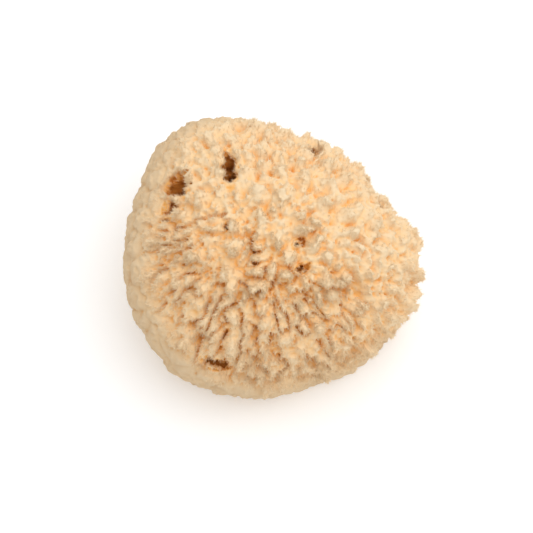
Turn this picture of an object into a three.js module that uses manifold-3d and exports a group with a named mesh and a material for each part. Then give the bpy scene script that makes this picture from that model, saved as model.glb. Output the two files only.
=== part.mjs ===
// A natural wool sponge for the bath, in millimetres, +Z up.
// It is one piece: a low dome whose crown and sides are grown over with tufts, with deep round
// pores (oscula) between them, a smoother skin round its foot and left flank, and a flat cut below.
// The origin is on the cut, under the middle of the plan.
import * as THREE from "three";
import { ConvexGeometry } from "three/addons/geometries/ConvexGeometry.js";
import { mergeVertices } from "three/addons/utils/BufferGeometryUtils.js";
import Module from "manifold-3d";

const wasm = await Module();
wasm.setup();

// The dome, measured over the tips of the tufts. Every direction starts at the heart, which is at
// the height of the widest ring, and beside the Z axis because the plan is lopsided.
const HEART = new THREE.Vector3(-0.43, -0.16, 34);
const CROWN_RISE = 51.5;
const FOOT_DROP = 61;
const FULLNESS = 2.2; // 2 is an ellipse in section, and more is boxier
const PLAN_RADIUS = 69;
const PLAN_WAVES = [
  { order: 1, swell: 3.0, peak: -143 },
  { order: 2, swell: 3.7, peak: -65 },
  { order: 3, swell: 3.4, peak: -14 },
  { order: 4, swell: 1.0, peak: -178 },
  { order: 5, swell: 1.0, peak: -93 },
  { order: 6, swell: 0.7, peak: 16 },
];

// The tufts: one to each point of a spiral lattice over the whole ball, moved a little at random.
const TUFT_COUNT = 350;
const TUFT_JITTER = 0.08; // as a share of the distance from the heart
const TUFT_DEPTH = 6.0; // from a tuft's tip to the groove round it
const SKIN_DEPTH = 2.2; // the same on the smooth skin
const TUFT_UNEVENNESS = 3.4; // how far one tip may stand below another
const SKIN_UNEVENNESS = 0.3; // the same on the skin, as a share of it
const GROOVE_SHARPNESS = 2.3; // 1 is a cone, and more is a rounder tuft with a narrower groove
const SHOULDER = 0.29; // where a tuft's shoulder lies on the way from its tip to the next

// The skin reaches up to this elevation, seen from the heart: it is high on the left (-X) and at the
// back (+Y), and low on the right and in front.
const SKIN_EDGE = 6;
const SKIN_EDGE_SWING = 22;
const SKIN_EDGE_LEAN = 12;
const SKIN_EDGE_BLUR = 7;

// Places where the tips lie further in than the dome, such as a fold on the right and gaps in the
// outline, or further out, where the depth is negative. Radius and depth are in millimetres, and the
// place is given as for the pores below.
const DENTS = [
  { azimuth: -46, elevation: 32, radius: 13, depth: 6 },
  { azimuth: -177, elevation: 13, radius: 5, depth: 3 },
  { azimuth: -112, elevation: -9, radius: 6, depth: 5 },
  { azimuth: -67, elevation: -18, radius: 7, depth: 4 },
  { azimuth: -36, elevation: -10, radius: 8, depth: 4 },
  { azimuth: 105, elevation: 31, radius: 4, depth: 2 },
  { azimuth: -17, elevation: 8, radius: 7, depth: 5 },
  { azimuth: 24, elevation: 17, radius: 12, depth: 5.5 },
  { azimuth: 4, elevation: 8, radius: 13, depth: -2.5 },
  { azimuth: 80, elevation: 28, radius: 8, depth: -1 },
];

// Pores and hollows. The mouth's centre is given by azimuth (0 is +X, 90 is +Y) and elevation from
// the heart, wide is along the horizontal, tall is up the slope unless both are turned, and depth is
// from the tips.
const PORES = [
  { azimuth: 155.5, elevation: 39, wide: 12.5, tall: 12.0, depth: 38 },
  { azimuth: 128, elevation: 56, wide: 7.5, tall: 19.0, depth: 34, turn: 33 },
  { azimuth: 170, elevation: 40, wide: 9.0, tall: 5.5, depth: 12 },
  { azimuth: 177, elevation: 36, wide: 3.6, tall: 5.5, depth: 9 },
  { azimuth: -60, elevation: 56, wide: 6.0, tall: 4.0, depth: 9 },
  { azimuth: -49, elevation: 67, wide: 5.5, tall: 3.6, depth: 8 },
  { azimuth: -106, elevation: 61, wide: 3.2, tall: 2.2, depth: 8 },
  { azimuth: -162, elevation: 66, wide: 4.5, tall: 2.4, depth: 8, turn: 40 },
  { azimuth: -113, elevation: 11, wide: 12.0, tall: 6.0, depth: 12 },
  { azimuth: 62, elevation: 40, wide: 7.5, tall: 8.0, depth: 30 },
  { azimuth: 35, elevation: 12, wide: 6.0, tall: 5.0, depth: 18 },
  { azimuth: 100, elevation: 8, wide: 7.0, tall: 6.5, depth: 26 },
  { azimuth: 148, elevation: 4, wide: 5.0, tall: 5.0, depth: 16 },
  { azimuth: 12, elevation: 30, wide: 5.0, tall: 4.0, depth: 14 },
];
const PORE_LEAN = 0.6; // how far the pores turn up from square to the dome
const PORE_SIDES = 8;
const PORE_LEAD = 6; // how far a hole's cut starts above its mouth
const PORE_FLARE = 0.62; // its radius there, as a share of its width
// The radius further down: pairs of a share of the width and a share of the depth.
const PORE_PROFILE = [
  [0.5, 0],
  [0.36, 0.6],
  [0.14, 1],
];

// Channels that the cut lays open, spread over it in a spiral.
const CHANNEL_COUNT = 14;
const CHANNEL_SPREAD = 43;
const CHANNEL_RADIUS = [2.2, 5.2];
const CHANNEL_DEPTH = [9, 20];
const CHANNEL_STRETCH = [0.7, 1.3]; // one side as a share of the other

const CREAM = 0xe6c596;

const GOLDEN_ANGLE = Math.PI * (3 - Math.sqrt(5));
const UP = new THREE.Vector3(0, 0, 1);
const rad = THREE.MathUtils.degToRad;
const lerp = THREE.MathUtils.lerp;

// A number from 0 to 1 that is always the same for the same n and salt.
function chance(n, salt) {
  const wild = Math.sin(n * 12.9898 + salt * 78.233) * 43758.5453;
  return wild - Math.floor(wild);
}

function directionOf(azimuth, elevation) {
  return new THREE.Vector3(
    Math.cos(elevation) * Math.cos(azimuth),
    Math.cos(elevation) * Math.sin(azimuth),
    Math.sin(elevation),
  );
}

function planRadius(azimuth) {
  return PLAN_WAVES.reduce(
    (sum, wave) => sum + wave.swell * Math.cos(wave.order * azimuth - rad(wave.peak)),
    PLAN_RADIUS,
  );
}

// The distance from the heart to the dome, which lies over the tips of the tufts.
function domeReach(direction) {
  const across = Math.hypot(direction.x, direction.y);
  const rise = direction.z > 0 ? CROWN_RISE : FOOT_DROP;
  const side = across / planRadius(Math.atan2(direction.y, direction.x));
  const height = Math.abs(direction.z) / rise;
  return (side ** FULLNESS + height ** FULLNESS) ** (-1 / FULLNESS);
}

// The same with the dents, which fade out like a bell.
function reach(direction) {
  const dome = domeReach(direction);
  return DENTS.reduce((sum, dent) => {
    const middle = directionOf(rad(dent.azimuth), rad(dent.elevation));
    const away = dome * direction.angleTo(middle);
    return sum - dent.depth * Math.exp(-((away / dent.radius) ** 2));
  }, dome);
}

// How woolly the sponge is in a direction: 1 among the tufts and 0 on the smooth skin.
function wool(direction) {
  const elevation = Math.asin(direction.z);
  const azimuth = Math.atan2(direction.y, direction.x);
  const edge = rad(SKIN_EDGE - SKIN_EDGE_SWING * Math.cos(azimuth) + SKIN_EDGE_LEAN * Math.sin(azimuth));
  const blur = rad(SKIN_EDGE_BLUR);
  return THREE.MathUtils.smoothstep(elevation, edge - blur, edge + blur);
}

function tuftTips() {
  const tips = [];
  for (let n = 0; n < TUFT_COUNT; n++) {
    const z = 1 - (2 * n + 1) / TUFT_COUNT;
    const across = Math.sqrt(1 - z * z);
    const turn = n * GOLDEN_ANGLE;
    const direction = new THREE.Vector3(
      across * Math.cos(turn) + TUFT_JITTER * (2 * chance(n, 1) - 1),
      across * Math.sin(turn) + TUFT_JITTER * (2 * chance(n, 2) - 1),
      z + TUFT_JITTER * (2 * chance(n, 3) - 1),
    ).normalize();
    tips.push({
      direction,
      place: direction.clone().multiplyScalar(reach(direction)),
      drop: TUFT_UNEVENNESS * chance(n, 4) * lerp(SKIN_UNEVENNESS, 1, wool(direction)),
    });
  }
  return tips;
}

// How far the surface lies below the tips: nothing on a tuft, and the full depth in the groove
// halfway to the next one.
function relief(direction, tips) {
  const place = direction.clone().multiplyScalar(reach(direction));
  let near = Infinity;
  let next = Infinity;
  let drop = 0;
  for (const tip of tips) {
    const distance = place.distanceTo(tip.place);
    if (distance < near) {
      next = near;
      near = distance;
      drop = tip.drop;
    } else if (distance < next) {
      next = distance;
    }
  }
  const depth = lerp(SKIN_DEPTH, TUFT_DEPTH, wool(direction));
  const towardsGroove = (2 * near) / (near + next);
  return depth * towardsGroove ** GROOVE_SHARPNESS + drop;
}

// Points on the unit ball for the corners of the facets: on each tip, on its shoulders, and in the
// grooves, between each two neighbours and where three tufts meet.
function facetCorners(tips) {
  const corners = tips.map((tip) => tip.direction);
  const facets = new ConvexGeometry(corners).attributes.position;
  for (let first = 0; first < facets.count; first += 3) {
    const [a, b, c] = [0, 1, 2].map((k) => new THREE.Vector3().fromBufferAttribute(facets, first + k));
    corners.push(new THREE.Triangle(a, b, c).getNormal(new THREE.Vector3()));
    for (const [from, to] of [[a, b], [b, c], [c, a]]) {
      corners.push(from.clone().lerp(to, SHOULDER).normalize());
      if (from.x < to.x) corners.push(from.clone().add(to).normalize());
    }
  }
  return corners;
}

function solidOf(geometry) {
  const bare = geometry.clone();
  bare.deleteAttribute("normal");
  bare.deleteAttribute("uv");
  const merged = mergeVertices(bare, 1e-4);
  return new wasm.Manifold(
    new wasm.Mesh({
      numProp: 3,
      vertProperties: new Float32Array(merged.attributes.position.array),
      triVerts: new Uint32Array(merged.index.array),
    }),
  );
}

// The whole ball of tufts, before the cut.
function tuftedBall() {
  const tips = tuftTips();
  const ball = new ConvexGeometry(facetCorners(tips));
  const places = ball.attributes.position;
  const direction = new THREE.Vector3();
  for (let v = 0; v < places.count; v++) {
    direction.fromBufferAttribute(places, v).normalize();
    const radius = reach(direction) - relief(direction, tips);
    direction.multiplyScalar(radius).add(HEART);
    places.setXYZ(v, direction.x, direction.y, direction.z);
  }
  return solidOf(ball);
}

// A blind tapered hole along Z with its mouth at the origin and its end at -depth. It starts a
// little above the mouth, so that it cuts through the tips.
function taperedHole(wide, tall, depth) {
  const profile = [
    [0, PORE_LEAD],
    [PORE_FLARE * wide, PORE_LEAD],
    ...PORE_PROFILE.map(([radius, down]) => [radius * wide, -down * depth]),
    [0, -depth],
  ];
  const points = profile.map(([across, along]) => new THREE.Vector2(across, along)).reverse();
  const hole = new THREE.LatheGeometry(points, PORE_SIDES);
  hole.rotateX(Math.PI / 2);
  hole.scale(1, tall / wide, 1);
  return hole;
}

// A pore's hole, which leans up from square to the dome. Its wide side is level and its tall side
// up the slope, or they are turned from there.
function pore({ azimuth, elevation, wide, tall, depth, turn = 0 }) {
  const outward = directionOf(rad(azimuth), rad(elevation));
  const mouth = outward.clone().multiplyScalar(reach(outward) - TUFT_UNEVENNESS).add(HEART);
  const level = new THREE.Vector3().crossVectors(UP, outward).normalize();
  const axis = outward.clone().addScaledVector(UP, PORE_LEAN).normalize();
  const placed = new THREE.Matrix4().makeBasis(level, axis.clone().cross(level), axis).setPosition(mouth);
  return solidOf(taperedHole(wide, tall, depth).rotateZ(-rad(turn)).applyMatrix4(placed));
}

function channel(n) {
  const away = CHANNEL_SPREAD * Math.sqrt((n + 0.5) / CHANNEL_COUNT);
  const turn = n * GOLDEN_ANGLE;
  const radius = lerp(...CHANNEL_RADIUS, chance(n, 11));
  const depth = lerp(...CHANNEL_DEPTH, chance(n, 12));
  const tall = 2 * radius * lerp(...CHANNEL_STRETCH, chance(n, 13));
  const hole = taperedHole(2 * radius, tall, depth).rotateX(Math.PI);
  hole.rotateZ(2 * Math.PI * chance(n, 14));
  hole.translate(away * Math.cos(turn), away * Math.sin(turn), 0);
  return solidOf(hole);
}

// Everything below the cut.
function belowCut() {
  const size = 4 * PLAN_RADIUS;
  const block = new THREE.BoxGeometry(size, size, size).toNonIndexed();
  return solidOf(block.translate(0, 0, -size / 2));
}

function sponge() {
  let solid = tuftedBall().subtract(belowCut());
  for (const form of PORES) solid = solid.subtract(pore(form));
  for (let n = 0; n < CHANNEL_COUNT; n++) solid = solid.subtract(channel(n));
  const made = solid.getMesh();
  const geometry = new THREE.BufferGeometry();
  geometry.setAttribute("position", new THREE.BufferAttribute(made.vertProperties, 3));
  geometry.setIndex(new THREE.BufferAttribute(made.triVerts, 1));
  const faceted = geometry.toNonIndexed();
  faceted.computeVertexNormals();
  const wools = new THREE.MeshStandardMaterial({ color: CREAM, roughness: 0.95, metalness: 0 });
  const mesh = new THREE.Mesh(faceted, wools);
  mesh.name = "sponge";
  return mesh;
}

const part = new THREE.Group();
part.add(sponge());
export default part;
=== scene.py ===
"""A natural wool sponge for the bath, resting on its cut on a plain pale floor.

The sponge is worked out in millimetres as a field on a grid, negative inside: a core, fingers that
splay out of it in tufts, small nubs on the fingers, pores, and the flat cut. Its surface becomes
six pieces, one to each side of the sponge, which meet in the grooves between the tufts. One more
piece has the loose fibres that fray the tufts.
"""

import math

import bpy
import numpy as np
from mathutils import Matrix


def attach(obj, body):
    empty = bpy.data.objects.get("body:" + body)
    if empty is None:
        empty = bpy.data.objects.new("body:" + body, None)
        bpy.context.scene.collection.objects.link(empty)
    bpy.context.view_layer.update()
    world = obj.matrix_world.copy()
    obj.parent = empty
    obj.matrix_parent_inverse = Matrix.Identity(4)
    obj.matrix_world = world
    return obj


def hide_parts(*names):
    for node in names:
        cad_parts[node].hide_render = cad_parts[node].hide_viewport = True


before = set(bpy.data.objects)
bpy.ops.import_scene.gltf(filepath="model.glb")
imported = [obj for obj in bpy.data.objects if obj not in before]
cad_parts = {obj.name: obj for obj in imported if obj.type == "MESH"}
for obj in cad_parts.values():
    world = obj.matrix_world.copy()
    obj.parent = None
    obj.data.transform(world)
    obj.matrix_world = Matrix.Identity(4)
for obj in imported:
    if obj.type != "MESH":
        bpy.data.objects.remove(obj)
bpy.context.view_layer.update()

import openvdb
from mathutils import Vector

MM = 0.001

# The dome, measured over the tips of the tufts. Every direction starts at the heart. Each wave of
# the plan has an order, a swell in millimetres and a phase in degrees.
HEART = np.array([-0.43, -0.16, 34.0])
CROWN_RISE = 51.5
FOOT_DROP = 61.0        # how far below the heart the dome would end if it weren't cut
FULLNESS = 2.2          # 2 is an ellipse in section, and more is boxier
PLAN_RADIUS = 69.0
PLAN_WAVES = [
    (1, 3.0, -143),
    (2, 3.7, -65),
    (3, 3.4, -14),
    (4, 1.0, -178),
    (5, 1.0, -93),
    (6, 0.7, 16),
]

# Places where the tips lie further in than the dome, or further out, where the depth is negative:
# azimuth and elevation in degrees, radius and depth in millimetres.
DENTS = [
    (-46, 32, 13, 6),
    (-177, 13, 5, 3),
    (-112, -9, 6, 5),
    (-67, -18, 7, 4),
    (-36, -10, 8, 2),
    (105, 31, 4, 2),
    (-17, 8, 7, 5),
    (24, 17, 12, 5.5),
    (4, 8, 13, -1),
    (80, 28, 8, -1),
]

# The pores and hollows: azimuth and elevation in degrees; width, height and depth in millimetres;
# and how many degrees the height is turned from straight up the slope.
PORES = [
    (155.5, 39, 13.0, 12.5, 38, 0),
    (128, 56, 7.5, 19.0, 34, 33),
    (171, 37, 10.5, 6.5, 12, 0),
    (177, 36, 3.6, 5.5, 9, 0),
    (-60, 56, 6.5, 3.6, 10, 0),
    (-49, 67, 6.0, 3.2, 10, 0),
    (-106, 61, 3.2, 2.2, 8, 0),
    (-162, 66, 4.5, 2.4, 8, 40),
    (-113, 11, 12.0, 6.0, 12, 0),
    (62, 40, 7.5, 8.0, 30, 0),
    (35, 12, 6.0, 5.0, 18, 0),
    (100, 8, 7.0, 6.5, 26, 0),
    (148, 4, 5.0, 5.0, 16, 0),
    (12, 30, 5.0, 4.0, 14, 0),
]
PORE_LEAN = 0.6         # how far the pores turn up from square to the dome
PORE_CLEARANCE = 1.2    # how far beside a mouth no finger stands
PORE_CLEAR_DEPTH = 10.0     # and how far in front of it and behind it
PORE_SHADE_FROM = (-1.0, 9.0)   # the depths where a pore's shade begins and is full
PORE_SHADE_EDGE = (1.5, 1.15)   # the same across it, in radii

# The shape of any hole: a pore, or a channel of the cut.
HOLE_SWAY = 0.10        # how far its middle wanders, as a share of its width
HOLE_SWAY_TURN = (9, 8)     # how far that turns over its depth, across and up, in radians
HOLE_NARROWING = 0.55   # the radius at its end, as a share of that at its mouth
HOLE_ROUND_END = 5      # the round end takes up one part in so many of its depth
HOLE_FLARE = 0.25       # how much wider it gets at its mouth, in radii
HOLE_FLARE_FROM = (-6, 4)   # the heights over its mouth where the flare begins and is full
HOLE_WOBBLE = 0.1       # how uneven the wall of the narrowest hole is
HOLE_WOBBLE_WIDTH = 9   # the width in millimetres that makes it 1 more
HOLE_MARGIN = 6         # a hole stays open outwards for its width and this much more

# Creases that run from place to place, given by azimuth and elevation.
CREASES = [
    [(177, 37), (-177, 38), (-169, 39)],
    [(-179, 50), (-178, 58), (-177, 66)],
    [(-130, 72), (-122, 70), (-111, 66)],
    [(-110, 50), (-104, 48), (-96, 48)],
]
CREASE_DEPTH = 4.0
CREASE_WIDTH = 1.1
CREASE_SWAY = 0.8       # how far they wander

# The tufts, one to each point of a spiral over the whole ball.
TUFT_COUNT = 350
TUFT_JITTER = 0.08      # as a share of the distance from the heart
TUFT_DEPTH = 6.0        # from a tuft's tip to the groove round it
TUFT_UNEVENNESS = 3.4   # how far one tip may stand below another
TUFT_SWAY = 1.2         # how far the grooves wander
GROOVE_SHARPNESS = 2.3  # 1 is a cone, and more is a rounder tuft with a narrower groove

# The smooth skin round the foot and on the left flank. It reaches up to this elevation in degrees,
# which is high on the left and at the back, and low on the right and in front.
SKIN_EDGE = 6.0
SKIN_EDGE_SWING = 22.0
SKIN_EDGE_LEAN = 12.0
SKIN_EDGE_BLUR = 7.0
SKIN_DEPTH = 2.2        # of the grooves between its cobbles
SKIN_GROOVE_SHARPNESS = 7.0
SKIN_LEVEL = 0.8        # from the dome to the top of a cobble
SKIN_UNEVENNESS = 0.3   # how much of the tufts' unevenness it has
SKIN_RIBS = 0.6         # how much of the ribs
SKIN_PITS = 0.85        # how much of the pits
FOLD_DEPTH = 0.9        # of the folds down the wall at the foot
FOLD_STRETCH = (1, 1, 0.15)     # how fast the folds change along each axis
FOOT_FROM = (0.05, -0.20)   # the rise of a direction where the folds begin and are full

# The tufts are low and soft at the back, and long and shaggy in front. The way points from the long
# ones to the low ones, and the ends are the places along it where they are lowest and longest.
SHAG_WAY = (0.45, 0.85)
SHAG_ENDS = (0.20, -0.55)
LOW_TUFT_DROP = 0.4     # how much of their drop the fingers of the low tufts keep

# The fingers: lengths and radii in millimetres.
FINGER_COUNT = 3600
FINGER_JITTER = 0.034
FINGER_DROP = 0.95      # how much of the tufts' roundness the finger tips follow
FINGER_UNEVENNESS = 3.0
FINGER_GATHER = 0.12    # how far the tips are drawn to the middle of their tuft
FINGER_SPLAY = 0.45     # how far the roots are drawn to it
FINGER_LENGTH = 11.0
FINGER_GAPS = (0.0, 0.35)   # the share of the fingers that is missing, at the back and in front
FINGER_TIP = (1.0, 2.8)
LONG_FINGER_TIP = (1.1, 2.6)
SKIN_FINGER_TIP = 2.0
FINGER_ROOT = 1.5
FINGER_BEND = 0.7       # how far the middle of a finger strays
FINGER_DROOP = (2.5, 9.0)   # how far the tips lean down the flanks, at the back and in front
DROOP_FROM = (12, 60)   # degrees from the top where the lean begins and where it is full
FINGER_LOWEST = -2.0    # no finger has its tip below this
CORE_DEPTH = (2.6, 6.5)     # from the dome to the core, among the low and the long tufts

# The nubs on each finger.
NUBS_EACH = 2.4         # for each millimetre of its radius
NUB_RADIUS = (0.3, 0.9)
NUB_START = 0.45        # where they begin on the way from the bend to the tip
NUB_LEAN = 1.2          # how far those near the tip point outwards
NUB_SINK = 0.15         # how far their middle lies below the finger's surface
NUB_WOOL = 0.2          # how woolly a place must be to have them

# The long tufts hang down in lobes with grooves between them.
HANG_DEPTH = 3.9
HANG_ROUND = 58.0       # of the cylinder on which the lobes' breadth is measured
HANG_STRETCH = 0.35     # their breadth as a share of their length
HANG_SWAY = 1.5         # how far the grooves wander sideways
HANG_FROM = (58, 38)    # the elevations in degrees where they begin and where they are full
HANG_GROOVE = 0.7       # the size of a lump where the groove beside it ends

# Cracks between some of the tufts: their depth, and the noise where they begin and are full.
CRACK_DEPTH = 2.8
CRACK_FROM = (-0.3, 0.6)
CRACK_BREADTH = 2.0     # how many times broader the cracked patches are than the lumps

# The thin pointed fibres that fray the tufts.
FIBRE_COUNT = 34000
FIBRE_REACH = (0.5, 2.0)    # how far a fibre stands out of the surface
FIBRE_RADIUS = 0.26
FIBRE_ROOT = 0.6        # how far it starts below the surface
FIBRE_SCATTER = 0.35    # how far it leans at random
FIBRE_STEP = 0.6        # the distance over which the slope of the surface is taken
FIBRE_BULGE = 0.62      # they grow where less than this share of the space close by is filled
FIBRE_SIDEWAYS = (0.1, 0.7)     # how far a wall faces sideways where they get more and are most
FIBRE_LEAST = 0.1       # how many a wall has that faces outwards
FIBRE_WOOL = (0.2, 0.6)     # how woolly a place is where they begin and are full
FIBRE_LOWEST = 2.0
LOW_TUFT_FIBRES = 0.3   # how many the low tufts have, as a share
FIBRE_CORNERS = [(1, 2, 0), (2, 3, 0), (3, 1, 0), (3, 2, 1)]    # corner 0 is the point

# The channels and the fine pores that the cut lays open.
CHANNEL_COUNT = 14
CHANNEL_SPREAD = 43.0
CHANNEL_RADIUS = (2.2, 5.2)
CHANNEL_DEPTH = (9.0, 20.0)
CHANNEL_STRETCH = 0.7   # the least share that one side is of the other
CHANNEL_UNEVENNESS = 0.6    # and how much more that share may be
CUT_PORE_COUNT = 300
CUT_PORE_SPREAD = 50.0
CUT_PORE_RADIUS = (0.6, 1.4)
CUT_PORE_JITTER = 0.8
CUT_PORE_STRETCH = 1.2
CUT_PORE_DEPTH = 4      # in radii

# Lumpy noise for the relief: the radius that it is smoothed with, and a seed.
GRAINS = {"coarse": (1.2, 31), "fine": (0.6, 32), "broad": (2.9, 33), "middling": (2.0, 34)}
GRAIN_ROUNDS = 2
MEAN_LUMP = 0.8         # the mean size of the noise
MIRRORS = np.array([(1, 1, 1), (-1, 1, 1), (1, -1, 1)])     # to use one grain more than once
WOBBLE_MIX = (0.6, 0.3)     # of the coarse and the fine grain, for the walls of the holes

# Relief over all the forms, in millimetres.
LOBE_HEIGHT = (1.7, 0.6)    # of rounded lobes with narrow creases, among the tufts and on the skin
MOUND_HEIGHT = 1.5      # of the wider lobes among the low tufts
MOUND_TOP = 1.6         # where the lumps that make them are cut off
PIT_DEPTH = (0.42, 0.34)    # of the coarse and the fine pits, whose rims are sharp
PIT_LEVEL = 0.7         # how far their rims stand out, as a share of their depth
RIB_DEPTH = 0.45        # of the ribs that run outwards along the fingers
RIB_LEVEL = 1.0         # the size of the ribs' noise where the surface stays as it is
FINE_RIBS = 0.7         # the fine ribs as a share of the coarse ones
SHRINK = 1.0            # makes up for how the merging swells the fingers

VOXEL = 0.56
MERGE = 0.45            # how far two forms flow into each other, in millimetres
MERGE_REACH = 5         # how far a form is felt, as a multiple of that
DEEPEST = -9.0          # the field isn't kept further inside than this
OUTERMOST = 10.0        # nor further outside
CORE_START = 36.0       # nothing but the core lies nearer to the heart than this
ORIGIN = np.array([-74.0, -71.0, -2.2])
CELLS = np.array([266, 258, 163])
AXES = [ORIGIN[k] + VOXEL * np.arange(CELLS[k]) for k in range(3)]
SURFACE_BAND = 3        # how many cells of the field are kept on each side of the surface
BATCH = 20000           # how many places are measured against the tufts at a time
GOLDEN_ANGLE = math.pi * (3 - math.sqrt(5))
SEED = 11

# The pieces, anticlockwise from +X.
SECTORS = ["right", "back_right", "back_left", "left", "front_left", "front_right"]
SECTOR_SPAN = 360 / len(SECTORS)

# The painted shade of the hollows, which darkens and warms their colour where shade falls: how much
# of it comes from how filled the space is close by and further round, from the depth below the tips,
# and from lying in a pore.
CLOSE_SHADE = 0.40
WIDE_SHADE = 0.45
DEPTH_SHADE = 0.30
PORE_SHADE = 0.55
CLOSE_BLUR = 1.4
WIDE_BLUR = 3.0
SHADE_START = 4         # the depth below the tips where that part begins
SHADE_SPAN = 16.0       # and how much further down it is full

# The colours by painted shade: the sponge's own cream at the tips, and orange and brown painted into
# the deepest hollows as painted shade and as the painted glow of light passing through the wool.
PAINTED_SHADE_RAMP = [
    (0.20, (0.89, 0.72, 0.49)),
    (0.45, (0.91, 0.70, 0.45)),
    (0.62, (0.95, 0.66, 0.36)),
    (0.80, (0.92, 0.50, 0.16)),
    (1.00, (0.55, 0.20, 0.03)),
]
SKIN_TONE = (0.66, 0.48, 0.29)
SKIN_DULLNESS = 0.65    # how much of the skin's own dull tan is in its colour
SKIN_SHADE = (0.75, 0.5)    # the shades where its tan begins and is full
# The fibres are painted paler than the rest, as painted light that stands for light shining through
# them.
FIBRE_PAINTED_LIGHT = 0.2
MOTTLE = 0.22           # how far the colour varies from place to place
MOTTLE_SCALE = 90
MOTTLE_DETAIL = 4
FUZZ_SCALE = 1500
FUZZ_DETAIL = 5
FUZZ_HEIGHT = 0.4       # in millimetres
FUZZ_STRENGTH = 0.6
ROUGHNESS = 0.9
GLOSS = 0.25

# The studio, in metres, watts and degrees.
FLOOR_HALF = 3.0
FLOOR_COLOUR = (0.93, 0.93, 0.93, 1)
FLOOR_GLOW = 0.18
FLOOR_GLOSS = 0.1
WHITE = (1, 1, 1, 1)
SKY_STRENGTH = (0.40, 0.89)     # at the horizon and overhead
LAMP_PLACE = (0.32, 0.08, 0.98)
LAMP_AIM = (0, 0, 0.04)
LAMP_SIZE = 1.3
LAMP_POWER = 5.0
LENS_MM = 85
SENSOR_MM = 36
CAMERA_AIM = Vector((-0.0017, -0.0078, 0.038))
CAMERA_ELEVATION = 66
CAMERA_DISTANCE = 0.580

random = np.random.default_rng(SEED)


def chance(n, salt):
    """A number from 0 to 1 that is always the same for the same n and salt."""
    wild = np.sin(n * 12.9898 + salt * 78.233) * 43758.5453
    return wild - np.floor(wild)


def lerp(low, high, share):
    return low + (high - low) * share


def smoothstep(value, low, high):
    share = np.clip((value - low) / (high - low), 0, 1)
    return share * share * (3 - 2 * share)


def unit(vectors):
    return vectors / np.linalg.norm(vectors, axis=-1, keepdims=True)


def direction_of(azimuth, elevation):
    """A unit vector for an azimuth and elevation in degrees."""
    a, e = math.radians(azimuth), math.radians(elevation)
    return np.array([math.cos(e) * math.cos(a), math.cos(e) * math.sin(a), math.sin(e)])


def spiral_ball(count, jitter, salt):
    """Directions spread evenly over the whole ball, each moved a little."""
    n = np.arange(count)
    z = 1 - (2 * n + 1) / count
    across = np.sqrt(1 - z * z)
    turn = n * GOLDEN_ANGLE
    even = np.stack([across * np.cos(turn), across * np.sin(turn), z], axis=-1)
    moved = np.stack([2 * chance(n, salt + k) - 1 for k in range(3)], axis=-1)
    return unit(even + jitter * moved)


def reach(x, y, z):
    """The distance from the heart to the tips of the tufts, in a unit direction."""
    azimuth = np.arctan2(y, x)
    plan = PLAN_RADIUS
    for order, swell, phase in PLAN_WAVES:
        plan = plan + swell * np.cos(order * azimuth - math.radians(phase))
    rise = np.where(z > 0, CROWN_RISE, FOOT_DROP)
    dome = ((np.hypot(x, y) / plan) ** FULLNESS + (np.abs(z) / rise) ** FULLNESS) ** (-1 / FULLNESS)
    dented = dome
    for azimuth, elevation, radius, depth in DENTS:
        middle = direction_of(azimuth, elevation)
        chord = 2 - 2 * (x * middle[0] + y * middle[1] + z * middle[2])
        dented = dented - depth * np.exp(-chord * (dome / radius) ** 2)
    return dented


def wool(x, y, z):
    """1 among the tufts and 0 on the smooth skin, in a unit direction."""
    elevation = np.degrees(np.arcsin(np.clip(z, -1, 1)))
    azimuth = np.arctan2(y, x)
    edge = SKIN_EDGE - SKIN_EDGE_SWING * np.cos(azimuth) + SKIN_EDGE_LEAN * np.sin(azimuth)
    return smoothstep(elevation, edge - SKIN_EDGE_BLUR, edge + SKIN_EDGE_BLUR)


def shag(x, y):
    """0 where the tufts are low and soft and 1 where they are long, in a unit direction."""
    return smoothstep(SHAG_WAY[0] * x + SHAG_WAY[1] * y, *SHAG_ENDS)


def blurred(values, radius):
    """The mean of the values in a cube that reaches that many millimetres each way."""
    steps = max(1, round(radius / VOXEL))
    for k in range(3):
        border = [(steps + 1, steps) if j == k else (0, 0) for j in range(3)]
        total = np.cumsum(np.pad(values, border, mode="edge"), axis=k, dtype=np.float32)
        size = values.shape[k]
        above = np.take(total, np.arange(2 * steps + 1, 2 * steps + 1 + size), axis=k)
        below = np.take(total, np.arange(size), axis=k)
        values = (above - below) / (2 * steps + 1)
    return values


def grain(radius, seed):
    """Random values round 0 all over the grid, smoothed into lumps of about twice that radius."""
    values = np.random.default_rng(seed).standard_normal(CELLS, dtype=np.float32)
    for _ in range(GRAIN_ROUNDS):
        values = blurred(values, radius)
    return values / values.std()


def sampled(values, points):
    """The grid's values at points, mixed from the eight cells round each."""
    place = (points - ORIGIN) / VOXEL
    whole = np.clip(np.floor(place).astype(int), 0, CELLS - 2)
    share = (place - whole).astype(np.float32)
    result = np.zeros(len(points), dtype=np.float32)
    for corner in np.ndindex(2, 2, 2):
        weight = np.prod(np.where(corner, share, 1 - share), axis=1)
        index = tuple((whole + corner).T)
        result += weight * values[index]
    return result


def lumps(values, places):
    """The size of a grain at places from the heart: round lumps with narrow creases between."""
    return np.abs(sampled(values, places + HEART))


def window(first, last):
    """The part of the grid between two cells, the last left out."""
    return tuple(slice(a, b) for a, b in zip(np.maximum(first, 0), np.minimum(last, CELLS)))


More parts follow.
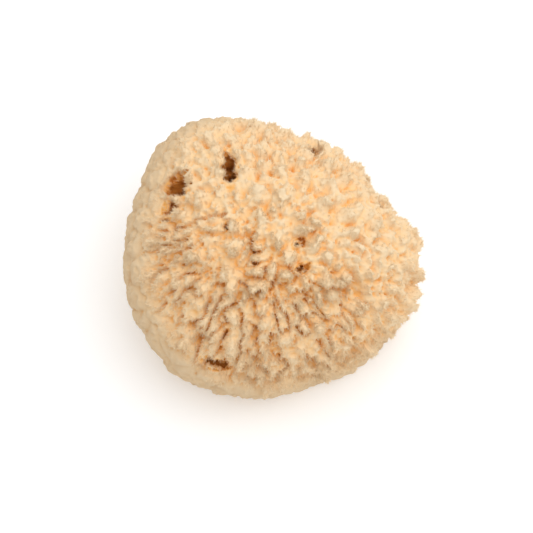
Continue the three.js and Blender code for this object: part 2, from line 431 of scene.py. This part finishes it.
class Tufts:
    """The tips of the tufts, and how far each stands below the dome."""

    def __init__(self):
        self.ways = spiral_ball(TUFT_COUNT, TUFT_JITTER, salt=1)
        self.places = self.ways * reach(*self.ways.T)[:, None]
        uneven = lerp(SKIN_UNEVENNESS, 1, wool(*self.ways.T))
        self.drop = TUFT_UNEVENNESS * chance(np.arange(TUFT_COUNT), 4) * uneven

    def nearest(self, places):
        """The nearest tuft to each place from the heart, and how near it and the next one are."""
        owner, near, after = [], [], []
        for part in np.array_split(places.astype(np.float32), max(1, len(places) // BATCH)):
            square = (
                (part**2).sum(1)[:, None]
                + (self.places**2).sum(1)[None, :].astype(np.float32)
                - 2 * part @ self.places.T.astype(np.float32)
            )
            two = np.argpartition(square, 1, axis=1)[:, :2]
            values = np.take_along_axis(square, two, axis=1)
            owner.append(two[:, 0])
            near.append(np.sqrt(np.maximum(values[:, 0], 0)))
            after.append(np.sqrt(np.maximum(values[:, 1], 0)))
        return np.concatenate(owner), np.concatenate(near), np.concatenate(after)


class Field:
    """Forms merged on the grid. Each one adds exp(-distance / MERGE), and the surface is at 1."""

    def __init__(self):
        self.sum = np.zeros(CELLS, dtype=np.float32)

    def add_rod(self, start, end, start_radius, end_radius):
        """Adds a rod with round ends. It may be a ball, where start and end are the same."""
        rim = max(start_radius, end_radius) + MERGE_REACH * MERGE
        low = np.floor((np.minimum(start, end) - rim - ORIGIN) / VOXEL).astype(int)
        high = np.ceil((np.maximum(start, end) + rim - ORIGIN) / VOXEL).astype(int)
        box = window(low, high + 1)
        if 0 in self.sum[box].shape:
            return
        along = end - start
        length2 = max(float(along @ along), 1e-9)
        steps = [AXES[k][box[k]].astype(np.float32) for k in range(3)]
        x = steps[0][:, None, None] - start[0]
        y = steps[1][None, :, None] - start[1]
        z = steps[2][None, None, :] - start[2]
        share = np.clip((x * along[0] + y * along[1] + z * along[2]) / length2, 0, 1)
        gap = np.sqrt(
            (x - share * along[0]) ** 2 + (y - share * along[1]) ** 2 + (z - share * along[2]) ** 2
        )
        gap -= start_radius + share * (end_radius - start_radius)
        self.sum[box] += np.exp(np.maximum(gap, DEEPEST) / -MERGE)

    def distance(self):
        return -MERGE * np.log(np.maximum(self.sum, 1e-12))


class WayMap:
    """Values for every direction from the heart, kept on a map by azimuth and elevation."""

    STEP = math.radians(0.4)

    def __init__(self):
        azimuth, elevation = np.meshgrid(
            np.arange(-math.pi, math.pi + 2 * self.STEP, self.STEP),
            np.arange(-math.pi / 2, math.pi / 2 + 2 * self.STEP, self.STEP),
            indexing="ij",
        )
        self.shape = azimuth.shape
        across = np.cos(elevation)
        ways = [across * np.cos(azimuth), across * np.sin(azimuth), np.sin(elevation)]
        self.ways = np.stack(ways, axis=-1).reshape(-1, 3)

    def aim(self, x, y, z):
        """Prepares to look values up in these unit directions."""
        column = (np.arctan2(y, x) + math.pi) / self.STEP
        row = (np.arcsin(np.clip(z, -1, 1)) + math.pi / 2) / self.STEP
        self.column, self.row = column.astype(int), row.astype(int)
        self.right = (column - self.column).astype(np.float32)
        self.up = (row - self.row).astype(np.float32)

    def look_up(self, values):
        grid = values.reshape(self.shape).astype(np.float32)
        low = lerp(grid[self.column, self.row], grid[self.column + 1, self.row], self.right)
        high = lerp(grid[self.column, self.row + 1], grid[self.column + 1, self.row + 1], self.right)
        return lerp(low, high, self.up)


def creased(places):
    """How far the creases lie below the surface at places on the dome."""
    deepest = np.zeros(len(places))
    for line in CREASES:
        stops = [direction_of(*stop) for stop in line]
        stops = [stop * reach(*stop) for stop in stops]
        for start, end in zip(stops, stops[1:]):
            along = end - start
            share = np.clip((places - start) @ along / (along @ along), 0, 1)
            gap = np.linalg.norm(places - start - share[:, None] * along, axis=1)
            deepest = np.maximum(deepest, CREASE_DEPTH * np.exp(-((gap / CREASE_WIDTH) ** 2)))
    return deepest


def hanging(ways, values, sway):
    """How far into a groove between two hanging lobes each direction lies, from 0 to 1."""
    x, y, z = ways.T
    across = np.hypot(x, y) + 1e-6
    elevation = np.arcsin(np.clip(z, -1, 1))
    places = HANG_ROUND * np.stack([x / across, y / across, HANG_STRETCH * elevation], axis=-1)
    groove = np.clip(1 - lumps(values, places + HANG_SWAY * sway) / HANG_GROOVE, 0, 1)
    return groove * smoothstep(np.degrees(elevation), *HANG_FROM) * shag(x, y) * wool(x, y, z)


def wall(ways, full, woolly, tufts, grains):
    """How far the core lies below the dome in each direction, and the relief over all forms."""
    places = ways * full[:, None]
    shaggy = shag(ways[:, 0], ways[:, 1])
    sway = np.stack([sampled(grains["broad"], places * mirror + HEART) for mirror in MIRRORS], axis=-1)
    _, near, after = tufts.nearest(places + TUFT_SWAY * sway)
    groove = (2 * near / (near + after)) ** SKIN_GROOVE_SHARPNESS
    folds = lumps(grains["broad"], places * FOLD_STRETCH)
    foot = smoothstep(ways[:, 2], *FOOT_FROM)
    skin = SKIN_LEVEL + lerp(SKIN_DEPTH * groove, FOLD_DEPTH * folds, foot)
    depth = lerp(skin, lerp(*CORE_DEPTH, shaggy), woolly)

    ribs = lumps(grains["coarse"], places * MIRRORS[1])
    ribs += FINE_RIBS * lumps(grains["fine"], places * MIRRORS[2])
    lobes = lumps(grains["middling"], places) - MEAN_LUMP
    mounds = np.minimum(lumps(grains["broad"], places * MIRRORS[2]), MOUND_TOP) - MEAN_LUMP
    patches = sampled(grains["broad"], places / CRACK_BREADTH * MIRRORS[1] + HEART)
    relief = RIB_DEPTH * (ribs - RIB_LEVEL) * lerp(SKIN_RIBS, 1.0, woolly)
    relief -= lerp(*LOBE_HEIGHT, 1 - woolly) * lobes
    relief += CRACK_DEPTH * groove * woolly * smoothstep(patches, *CRACK_FROM)
    relief -= MOUND_HEIGHT * woolly * (1 - shaggy) * mounds
    hang = HANG_DEPTH * hanging(ways, grains["middling"], sway)
    relief += creased(places + CREASE_SWAY * sway) + hang
    return depth, relief


def main_field(tufts):
    """The core and the fingers, merged and roughened, and the wobble for the walls of the holes."""
    grains = {name: grain(*lumpiness) for name, lumpiness in GRAINS.items()}
    x, y, z = np.meshgrid(*[axis.astype(np.float32) - HEART[k] for k, axis in enumerate(AXES)],
                          indexing="ij", sparse=True)
    away = np.sqrt(x**2 + y**2 + z**2)
    shell = away > CORE_START
    spots = np.nonzero(shell)
    away = away[shell]
    way_map = WayMap()
    way_map.aim(*[(AXES[k][spots[k]] - HEART[k]).astype(np.float32) / away for k in range(3)])
    full = reach(*way_map.ways.T)
    woolly = wool(*way_map.ways.T)
    depth, relief = wall(way_map.ways, full, woolly, tufts, grains)

    field = Field()
    core = away - way_map.look_up(full - depth)
    field.sum[:] = math.exp(-DEEPEST / MERGE)
    field.sum[shell] = np.exp(np.clip(core, DEEPEST, OUTERMOST) / -MERGE)
    add_fingers(field, tufts)
    distance = field.distance()
    loose = np.zeros(CELLS, dtype=np.float32)
    loose[shell] = way_map.look_up(woolly)
    pits = PIT_DEPTH[0] * np.abs(grains["coarse"]) + PIT_DEPTH[1] * np.abs(grains["fine"])
    distance += lerp(SKIN_PITS, 1.0, loose) * (pits - PIT_LEVEL * sum(PIT_DEPTH)) + SHRINK
    distance[shell] += way_map.look_up(relief)
    return distance, WOBBLE_MIX[0] * grains["coarse"] + WOBBLE_MIX[1] * grains["fine"]


def fingers(tufts):
    """Each finger's root, bend and tip from the heart, its tip's radius, how woolly its place is,
    and whether it is missing."""
    ways = spiral_ball(FINGER_COUNT, FINGER_JITTER, salt=21)
    full = reach(*ways.T)
    owner, near, after = tufts.nearest(ways * full[:, None])
    woolly = wool(*ways.T)
    shaggy = shag(ways[:, 0], ways[:, 1])
    roundness = (2 * near / (near + after)) ** GROOVE_SHARPNESS
    drop = FINGER_DROP * roundness * lerp(SKIN_DEPTH, TUFT_DEPTH, woolly) + tufts.drop[owner]
    drop += FINGER_UNEVENNESS * random.random(FINGER_COUNT) * lerp(SKIN_UNEVENNESS, 1, woolly)
    drop *= lerp(LOW_TUFT_DROP, 1.0, shaggy)
    size = random.random(FINGER_COUNT) ** 2
    radius = lerp(lerp(*FINGER_TIP, size), lerp(*LONG_FINGER_TIP, size), shaggy)
    radius = lerp(SKIN_FINGER_TIP, radius, woolly)

    tips = ways * (full - drop - radius)[:, None]
    middle = tufts.ways[owner] * np.linalg.norm(tips, axis=1)[:, None]
    tips = lerp(tips, middle, (FINGER_GATHER * woolly)[:, None])
    slope = unit(ways * ways[:, 2:] - np.array([0, 0, 1.0]))
    from_top = np.degrees(np.arccos(np.clip(ways[:, 2], -1, 1)))
    droop = lerp(*FINGER_DROOP, shaggy) * smoothstep(from_top, *DROOP_FROM) * woolly
    roots = ways * (full - drop - FINGER_LENGTH)[:, None] - slope * droop[:, None]
    middle = tufts.ways[owner] * np.linalg.norm(roots, axis=1)[:, None]
    roots = lerp(roots, middle, (FINGER_SPLAY * woolly)[:, None])
    bends = (tips + roots) / 2 + random.normal(0, FINGER_BEND, (FINGER_COUNT, 3))
    missing = random.random(FINGER_COUNT) < lerp(*FINGER_GAPS, shaggy) * woolly
    missing |= in_pores(tips + HEART) | (tips[:, 2] + HEART[2] < FINGER_LOWEST)
    return roots, bends, tips, radius, woolly, missing


def add_fingers(field, tufts):
    roots, bends, tips, radius, woolly, missing = fingers(tufts)
    for k in np.flatnonzero(~missing):
        tip, bend, root = tips[k] + HEART, bends[k] + HEART, roots[k] + HEART
        waist = lerp(FINGER_ROOT, radius[k], 0.5)
        field.add_rod(root, bend, FINGER_ROOT, waist)
        field.add_rod(bend, tip, waist, radius[k])
        if woolly[k] > NUB_WOOL:
            add_nubs(field, bend, tip, radius[k])


def add_nubs(field, bend, tip, radius):
    outward = unit(tip - bend)
    for _ in range(round(NUBS_EACH * radius)):
        along = random.random()
        side = unit(random.normal(0, 1, 3) + outward * NUB_LEAN * along)
        size = random.uniform(*NUB_RADIUS)
        place = lerp(bend, tip, lerp(NUB_START, 1, along)) + side * (radius - NUB_SINK)
        field.add_rod(place, place, size, size)


def pore_frames():
    """The mouth, outward, level and upward vectors and the size of each pore."""
    for azimuth, elevation, wide, tall, depth, turn in PORES:
        outward = direction_of(azimuth, elevation)
        level = unit(np.cross([0, 0, 1], outward))
        mouth = outward * (reach(*outward) - TUFT_UNEVENNESS) + HEART
        axis = unit(outward + PORE_LEAN * np.array([0, 0, 1]))
        slope = np.cross(axis, level)
        across = level * math.cos(math.radians(turn)) - slope * math.sin(math.radians(turn))
        yield mouth, axis, across, np.cross(axis, across), wide, tall, depth


def in_pores(points):
    """Whether a point lies in the way of a pore's mouth."""
    found = np.zeros(len(points), dtype=bool)
    for mouth, outward, level, slope, wide, tall, _ in pore_frames():
        offset = points - mouth
        sideways = offset @ level / (wide / 2 + PORE_CLEARANCE)
        upwards = offset @ slope / (tall / 2 + PORE_CLEARANCE)
        near = np.abs(offset @ outward) < PORE_CLEAR_DEPTH
        found |= (np.hypot(sideways, upwards) < 1) & near
    return found


def pore_shade(points):
    """How far down a pore each point lies, from 0 at its mouth to 1, for its painted shade."""
    shade = np.zeros(len(points))
    for mouth, outward, level, slope, wide, tall, _ in pore_frames():
        offset = points - mouth
        across = np.hypot(offset @ level / (wide / 2), offset @ slope / (tall / 2))
        down = smoothstep(-(offset @ outward), *PORE_SHADE_FROM)
        shade = np.maximum(shade, down * smoothstep(across, *PORE_SHADE_EDGE))
    return shade


def carve(distance, wobble, mouth, outward, level, wide, tall, depth):
    """Takes a blind hole out, which narrows inwards and has a round end and an uneven wall."""
    slope = np.cross(outward, level)
    rim = max(wide, tall)
    narrow = min(wide, tall)
    end = mouth - outward * depth
    low = (np.minimum(mouth, end) - rim - HOLE_MARGIN - ORIGIN) / VOXEL
    high = (np.maximum(mouth, end) + rim + HOLE_MARGIN - ORIGIN) / VOXEL
    box = window(low.astype(int), high.astype(int) + 1)
    x, y, z = np.meshgrid(*[AXES[k][box[k]] - mouth[k] for k in range(3)], indexing="ij", sparse=True)
    s = (x * outward[0] + y * outward[1] + z * outward[2]) / depth
    u = x * level[0] + y * level[1] + z * level[2]
    v = x * slope[0] + y * slope[1] + z * slope[2]
    u = u + HOLE_SWAY * wide * np.sin(HOLE_SWAY_TURN[0] * s + wide)
    v = v + HOLE_SWAY * tall * np.cos(HOLE_SWAY_TURN[1] * s + tall)
    across = np.hypot(2 * u / wide, 2 * v / tall)
    round_end = np.sqrt(np.clip((1 + s) * HOLE_ROUND_END, 0, 1))
    narrowing = lerp(1.0, HOLE_NARROWING, np.clip(-s, 0, 1)) * round_end
    flare = HOLE_FLARE * smoothstep(s * depth, *HOLE_FLARE_FROM)
    uneven = wobble[box] * (HOLE_WOBBLE + narrow / HOLE_WOBBLE_WIDTH)
    hole = (across - narrowing - flare) * narrow / 2 + uneven
    distance[box] = np.maximum(distance[box], -hole.astype(np.float32))


def open_pores(distance, wobble):
    for mouth, outward, level, _, wide, tall, depth in pore_frames():
        carve(distance, wobble, mouth, outward, level, wide, tall, depth)


def place_on_cut(n, count, spread):
    """The place of hole n of that many in a spiral over the cut."""
    away = spread * math.sqrt((n + 0.5) / count)
    turn = n * GOLDEN_ANGLE
    return np.array([away * math.cos(turn), away * math.sin(turn), 0])


def cut_flat(distance, wobble):
    """Cuts everything below the floor away, and opens the channels and fine pores of the cut."""
    down = np.array([0.0, 0.0, -1.0])
    for n in range(CHANNEL_COUNT):
        mouth = place_on_cut(n, CHANNEL_COUNT, CHANNEL_SPREAD)
        radius = lerp(*CHANNEL_RADIUS, chance(n, 11))
        depth = lerp(*CHANNEL_DEPTH, chance(n, 12))
        stretch = CHANNEL_STRETCH + CHANNEL_UNEVENNESS * chance(n, 13)
        spin = 2 * math.pi * chance(n, 14)
        level = np.array([math.cos(spin), math.sin(spin), 0])
        carve(distance, wobble, mouth, down, level, 2 * radius, 2 * radius * stretch, depth)
    level = np.array([1.0, 0, 0])
    for n in range(CUT_PORE_COUNT):
        mouth = place_on_cut(n, CUT_PORE_COUNT, CUT_PORE_SPREAD)
        mouth[:2] += random.normal(0, CUT_PORE_JITTER, 2)
        radius = random.uniform(*CUT_PORE_RADIUS)
        tall = 2 * CUT_PORE_STRETCH * radius
        carve(distance, wobble, mouth, down, level, 2 * radius, tall, CUT_PORE_DEPTH * radius)
    np.maximum(distance, -AXES[2][None, None, :].astype(np.float32), out=distance)


def surface_of(distance):
    """The points and four-sided faces of the field's surface, without crumbs and bubbles."""
    band = SURFACE_BAND * VOXEL
    grid = openvdb.FloatGrid(band)
    grid.copyFromArray(np.clip(distance, -band, band).astype(np.float32))
    points, _, quads = grid.convertToPolygons(isovalue=0.0, adaptivity=0.0)
    body = bodies(quads, len(points))[quads[:, 0]]
    used, corners = np.unique(quads[body == np.bincount(body).argmax()], return_inverse=True)
    return points[used] * VOXEL + ORIGIN, corners.reshape(-1, 4)


def bodies(quads, count):
    """A number for each point, which is the same for all points of one connected surface."""
    number = np.arange(count)
    edges = np.concatenate([quads[:, [k, k + 1]] for k in range(3)])
    while True:
        first, second = number[edges[:, 0]], number[edges[:, 1]]
        lower = np.minimum(first, second)
        joined = number.copy()
        np.minimum.at(joined, first, lower)
        np.minimum.at(joined, second, lower)
        while (joined[joined] != joined).any():
            joined = joined[joined]
        if (joined == number).all():
            return number
        number = joined


def painted_crevice_shade(points, close, wide):
    """How deep in a hollow or pore each point lies, as painted shade that darkens its colour."""
    outward = points - HEART
    away = np.linalg.norm(outward, axis=1)
    full = reach(*(outward / away[:, None]).T)
    depth = np.clip((full - away - SHADE_START) / SHADE_SPAN, 0, 1)
    shut_in = CLOSE_SHADE * sampled(close, points) + WIDE_SHADE * sampled(wide, points)
    return shut_in + DEPTH_SHADE * depth + PORE_SHADE * pore_shade(points)


def fibre_chances(points, ways, outward, close):
    """How likely a fibre is at each point: most where the surface bulges and faces sideways."""
    bulge = np.clip(FIBRE_BULGE - sampled(close, points), 0, None)
    sideways = 1 - (outward * ways).sum(axis=1)
    chances = bulge**2 * (FIBRE_LEAST + smoothstep(sideways, *FIBRE_SIDEWAYS))
    chances *= smoothstep(wool(*ways.T), *FIBRE_WOOL) * (points[:, 2] > FIBRE_LOWEST)
    chances *= lerp(LOW_TUFT_FIBRES, 1.0, shag(*ways.T[:2]))
    return chances / chances.sum()


def add_fibres(points, distance, close, wide):
    """Thin pointed fibres that stand out of the tufts, each with three sides and a base."""
    steps = np.eye(3) * FIBRE_STEP
    slope = [sampled(distance, points + step) - sampled(distance, points - step) for step in steps]
    outward = unit(np.stack(slope, axis=-1) + 1e-6)
    ways = unit(points - HEART)
    chances = fibre_chances(points, ways, outward, close)
    picked = random.choice(len(points), FIBRE_COUNT, replace=False, p=chances)
    places = points[picked]
    strays = random.normal(0, FIBRE_SCATTER, places.shape)
    lie = unit(outward[picked] + ways[picked] + strays)
    ends = places + lie * random.uniform(*FIBRE_REACH, FIBRE_COUNT)[:, None]
    starts = places - lie * FIBRE_ROOT
    side = unit(np.cross(lie, random.normal(0, 1, places.shape)))
    other = np.cross(lie, side)
    corners = [ends]
    for turn in range(3):
        angle = turn * 2 * math.pi / 3
        corners.append(starts + FIBRE_RADIUS * (side * math.cos(angle) + other * math.sin(angle)))
    corners = np.stack(corners, axis=1).reshape(-1, 3)
    first = 4 * np.arange(FIBRE_COUNT)[:, None, None]
    faces = (first + np.array(FIBRE_CORNERS)[None]).reshape(-1, 3)
    # The fibres carry the same painted shade as the surface.
    shades = {"painted_shade": painted_crevice_shade(corners, close, wide), "skin": np.zeros(len(corners))}
    # The fibres' material paints them paler, as painted light through the thin fibres.
    add_piece("fibres", corners, faces, shades, sponge_material("wool_fibres", FIBRE_PAINTED_LIGHT))


def add_mesh(name, points, faces, shades):
    mesh = bpy.data.meshes.new(name)
    mesh.vertices.add(len(points))
    mesh.vertices.foreach_set("co", (points * MM).astype(np.float32).ravel())
    mesh.loops.add(faces.size)
    mesh.loops.foreach_set("vertex_index", faces.astype(np.int32).ravel())
    mesh.polygons.add(len(faces))
    mesh.polygons.foreach_set("loop_start", np.arange(0, faces.size, faces.shape[1], dtype=np.int32))
    mesh.polygons.foreach_set("use_smooth", np.full(len(faces), faces.shape[1] == 4))
    mesh.update(calc_edges=True)
    for shade, values in shades.items():
        layer = mesh.attributes.new(shade, "FLOAT", "POINT")
        layer.data.foreach_set("value", values.astype(np.float32))
    piece = bpy.data.objects.new(name, mesh)
    bpy.context.scene.collection.objects.link(piece)
    return piece


def add_piece(name, points, faces, shades, material):
    piece = add_mesh(name, points, faces, shades)
    piece.data.materials.append(material)
    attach(piece, "root")
    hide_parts("sponge")


def noise(nodes, links, place, scale, detail):
    """A noise texture that is fixed to the sponge."""
    texture = nodes.new("ShaderNodeTexNoise")
    texture.inputs["Scale"].default_value = scale
    texture.inputs["Detail"].default_value = detail
    links.new(place.outputs["Object"], texture.inputs["Vector"])
    return texture


def sponge_colour(nodes, links, place, painted_light):
    """Cream at the tips and painted orange-brown shade in the hollows, mottled, and duller on the
    skin.
    """
    # The painted shade, which darkens and warms the colour in the hollows and pores.
    painted_shade = nodes.new("ShaderNodeAttribute")
    painted_shade.attribute_name = "painted_shade"
    mottle = noise(nodes, links, place, MOTTLE_SCALE, MOTTLE_DETAIL)
    shift = nodes.new("ShaderNodeMath")
    shift.operation = "MULTIPLY_ADD"
    shift.inputs[1].default_value = MOTTLE
    links.new(mottle.outputs["Fac"], shift.inputs[0])
    links.new(painted_shade.outputs["Fac"], shift.inputs[2])
    # Painted light: lifts the colour towards the cream of the tips, for the fibres.
    painted_lift = nodes.new("ShaderNodeMath")
    painted_lift.operation = "SUBTRACT"
    painted_lift.inputs[1].default_value = painted_light
    links.new(shift.outputs[0], painted_lift.inputs[0])
    ramp = nodes.new("ShaderNodeValToRGB")
    links.new(painted_lift.outputs[0], ramp.inputs["Fac"])
    elements = ramp.color_ramp.elements
    while len(elements) < len(PAINTED_SHADE_RAMP):
        elements.new(1.0)
    for element, (position, colour) in zip(elements, PAINTED_SHADE_RAMP):
        element.position = position
        element.color = (*colour, 1)
    skin = nodes.new("ShaderNodeAttribute")
    skin.attribute_name = "skin"
    tone = nodes.new("ShaderNodeMix")
    tone.data_type = "RGBA"
    tone.inputs["B"].default_value = (*SKIN_TONE, 1)
    links.new(skin.outputs["Fac"], tone.inputs["Factor"])
    links.new(ramp.outputs["Color"], tone.inputs["A"])
    return tone.outputs["Result"]


def sponge_material(name, painted_light):
    """The matt, fuzzy look of the sponge."""
    material = bpy.data.materials.new(name)
    material.use_nodes = True
    nodes, links = material.node_tree.nodes, material.node_tree.links
    shader = nodes["Principled BSDF"]
    shader.inputs["Roughness"].default_value = ROUGHNESS
    shader.inputs["Specular IOR Level"].default_value = GLOSS
    place = nodes.new("ShaderNodeTexCoord")
    links.new(sponge_colour(nodes, links, place, painted_light), shader.inputs["Base Color"])

    fuzz = noise(nodes, links, place, FUZZ_SCALE, FUZZ_DETAIL)
    bump = nodes.new("ShaderNodeBump")
    bump.inputs["Distance"].default_value = FUZZ_HEIGHT * MM
    bump.inputs["Strength"].default_value = FUZZ_STRENGTH
    links.new(fuzz.outputs["Fac"], bump.inputs["Height"])
    links.new(bump.outputs["Normal"], shader.inputs["Normal"])
    return material


def build_sponge():
    tufts = Tufts()
    distance, wobble = main_field(tufts)
    open_pores(distance, wobble)
    cut_flat(distance, wobble)
    points, quads = surface_of(distance)

    filled = np.clip(0.5 - distance / VOXEL, 0, 1).astype(np.float32)
    close = blurred(filled, CLOSE_BLUR)
    wide = blurred(blurred(filled, WIDE_BLUR), WIDE_BLUR)
    # Painted shade: the colour darkens and turns orange where the space round a point is filled, deep
    # below the tips and down the pores.
    painted_shade = painted_crevice_shade(points, close, wide)
    add_fibres(points, distance, close, wide)
    ways = unit(points - HEART)
    skin = SKIN_DULLNESS * (1 - wool(*ways.T)) * smoothstep(painted_shade, *SKIN_SHADE)

    owner, _, _ = tufts.nearest(ways * reach(*ways.T)[:, None])
    side = np.degrees(np.arctan2(tufts.ways[:, 1], tufts.ways[:, 0]))
    sector = ((side + SECTOR_SPAN / 2) // SECTOR_SPAN).astype(int) % len(SECTORS)
    face_sector = sector[owner[quads[:, 0]]]
    material = sponge_material("wool_sponge", 0.0)
    for k, name in enumerate(SECTORS):
        mine = quads[face_sector == k]
        used, corners = np.unique(mine, return_inverse=True)
        corners = corners.reshape(mine.shape)[:, ::-1]
        # Each piece carries its painted shade and its skin tone.
        shades = {"painted_shade": painted_shade[used], "skin": skin[used]}
        add_piece("tufts_" + name, points[used], corners, shades, material)


def add_floor():
    half = FLOOR_HALF
    corners = [(-half, -half, 0), (half, -half, 0), (half, half, 0), (-half, half, 0)]
    mesh = bpy.data.meshes.new("floor")
    mesh.from_pydata(corners, [], [(0, 1, 2, 3)])
    floor = bpy.data.objects.new("floor", mesh)
    bpy.context.scene.collection.objects.link(floor)
    material = bpy.data.materials.new("pale_floor")
    material.use_nodes = True
    shader = material.node_tree.nodes["Principled BSDF"]
    shader.inputs["Base Color"].default_value = FLOOR_COLOUR
    shader.inputs["Emission Color"].default_value = WHITE
    shader.inputs["Emission Strength"].default_value = FLOOR_GLOW
    shader.inputs["Roughness"].default_value = ROUGHNESS
    shader.inputs["Specular IOR Level"].default_value = FLOOR_GLOSS
    mesh.materials.append(material)


def add_sky():
    """Even light from all round that is stronger overhead."""
    world = bpy.data.worlds.new("studio")
    world.use_nodes = True
    nodes, links = world.node_tree.nodes, world.node_tree.links
    background = nodes["Background"]
    background.inputs["Color"].default_value = WHITE
    place = nodes.new("ShaderNodeTexCoord")
    split = nodes.new("ShaderNodeSeparateXYZ")
    links.new(place.outputs["Generated"], split.inputs[0])
    dome = nodes.new("ShaderNodeMapRange")
    dome.inputs["To Min"].default_value = SKY_STRENGTH[0]
    dome.inputs["To Max"].default_value = SKY_STRENGTH[1]
    links.new(split.outputs["Z"], dome.inputs["Value"])
    links.new(dome.outputs["Result"], background.inputs["Strength"])
    bpy.context.scene.world = world


def add_lamp():
    lamp = bpy.data.lights.new("key", "AREA")
    lamp.shape = "DISK"
    lamp.size = LAMP_SIZE
    lamp.energy = LAMP_POWER
    holder = bpy.data.objects.new("key", lamp)
    holder.location = LAMP_PLACE
    way = Vector(LAMP_AIM) - Vector(LAMP_PLACE)
    holder.rotation_euler = way.to_track_quat("-Z", "Y").to_euler()
    bpy.context.scene.collection.objects.link(holder)


def add_camera():
    camera = bpy.data.cameras.new("camera")
    camera.lens = LENS_MM
    camera.sensor_width = SENSOR_MM
    holder = bpy.data.objects.new("camera", camera)
    elevation = math.radians(CAMERA_ELEVATION)
    back = Vector((0, -math.cos(elevation), math.sin(elevation)))
    holder.location = CAMERA_AIM + CAMERA_DISTANCE * back
    holder.rotation_euler = (CAMERA_AIM - holder.location).to_track_quat("-Z", "Y").to_euler()
    bpy.context.scene.collection.objects.link(holder)
    bpy.context.scene.camera = holder
    bpy.context.scene.view_settings.view_transform = "Standard"


add_camera()
add_sky()
add_lamp()
add_floor()
build_sponge()
